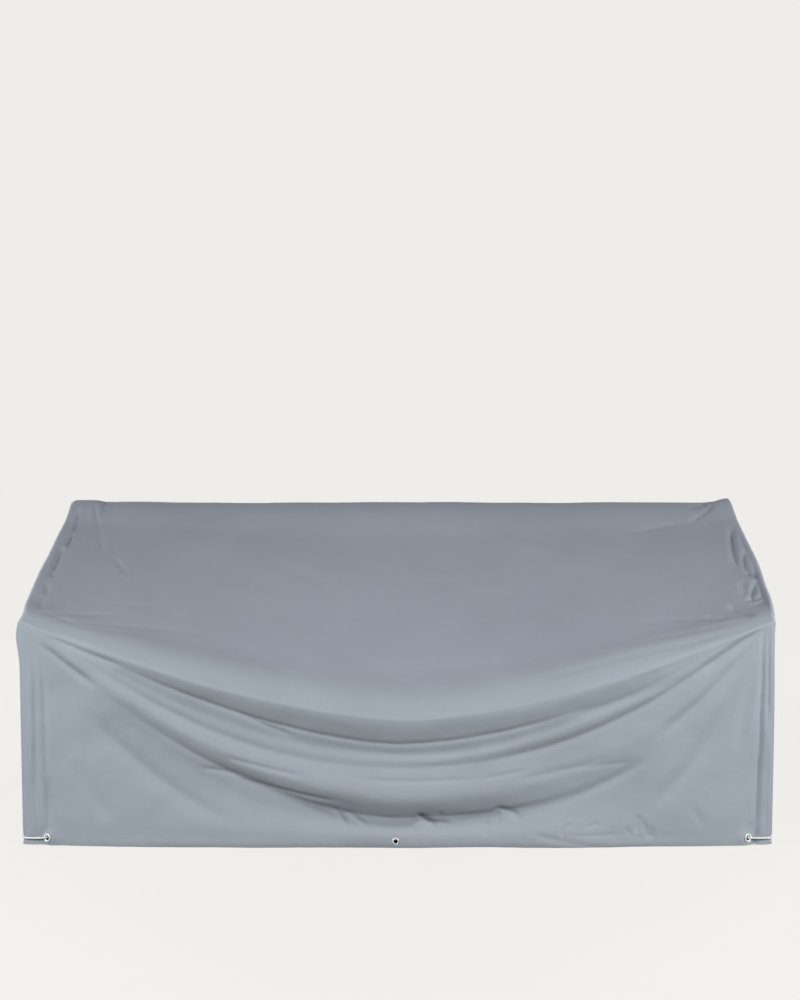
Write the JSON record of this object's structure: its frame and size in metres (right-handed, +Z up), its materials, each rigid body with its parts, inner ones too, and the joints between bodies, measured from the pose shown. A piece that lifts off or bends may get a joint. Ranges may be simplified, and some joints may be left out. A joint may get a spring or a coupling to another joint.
{
  "type": "patio furniture cover",
  "caption": "Fitted cover for a long patio sofa, draped over high back and low arms, front hanging in swags, hem with metal eyelets and elastic corner ties.",
  "frame": {"origin": "on the floor, under the middle of the cover", "axes": "+X along the cover to the viewer's right, +Y from the front to the back, +Z up"},
  "size_m": [2.1247, 0.9048, 0.8863],
  "materials": {
    "coated_cloth": "satin coated weave",
    "eyelet_metal": "bright plated",
    "elastic_cord": "white braid"
  },
  "bodies": {
    "root": {"front_top": "coated_cloth", "front_hem": "coated_cloth", "side_left": "coated_cloth", "side_right": "coated_cloth", "back": "coated_cloth", "eyelet_front_middle": "eyelet_metal", "eyelet_front_left": "eyelet_metal", "eyelet_front_right": "eyelet_metal", "eyelet_left_front": "eyelet_metal", "eyelet_left_back": "eyelet_metal", "eyelet_right_front": "eyelet_metal", "eyelet_right_back": "eyelet_metal", "eyelet_back_left": "eyelet_metal", "eyelet_back_right": "eyelet_metal", "cord_front_left": "elastic_cord", "cord_front_right": "elastic_cord", "cord_back_left": "elastic_cord", "cord_back_right": "elastic_cord"}
  },
  "joints": []
}
